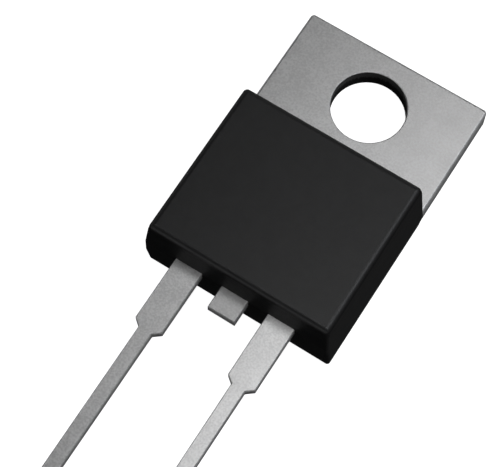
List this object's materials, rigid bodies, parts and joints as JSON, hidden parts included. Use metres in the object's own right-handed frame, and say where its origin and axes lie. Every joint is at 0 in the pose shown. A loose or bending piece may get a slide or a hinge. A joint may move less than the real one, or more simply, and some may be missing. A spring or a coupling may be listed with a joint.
{
  "type": "power rectifier diode",
  "caption": "Flat moulded power diode with a drilled screw-down metal tab, straight leads and a cut-off middle stub, lying on its back.",
  "frame": {"origin": "on the mounting hole's axis, in the plane of the tab's back face, which is the plane the part lies on", "axes": "+X across the package, +Y towards the free end of the tab with the leads running towards -Y, +Z out of the moulding's front face"},
  "size_m": [0.0104, 0.0286, 0.0044],
  "materials": {
    "black_epoxy": "fine matte moulded",
    "tinned_copper": "satin tin plate",
    "solder": "satin",
    "silicon": "polished",
    "bond_wire": "drawn"
  },
  "bodies": {
    "root": {"moulded_body": "black_epoxy", "cathode_frame": "tinned_copper", "anode_lead": "tinned_copper", "chip_solder": "solder", "diode_chip": "silicon", "bond_wire_1": "bond_wire", "bond_wire_2": "bond_wire"}
  },
  "joints": []
}
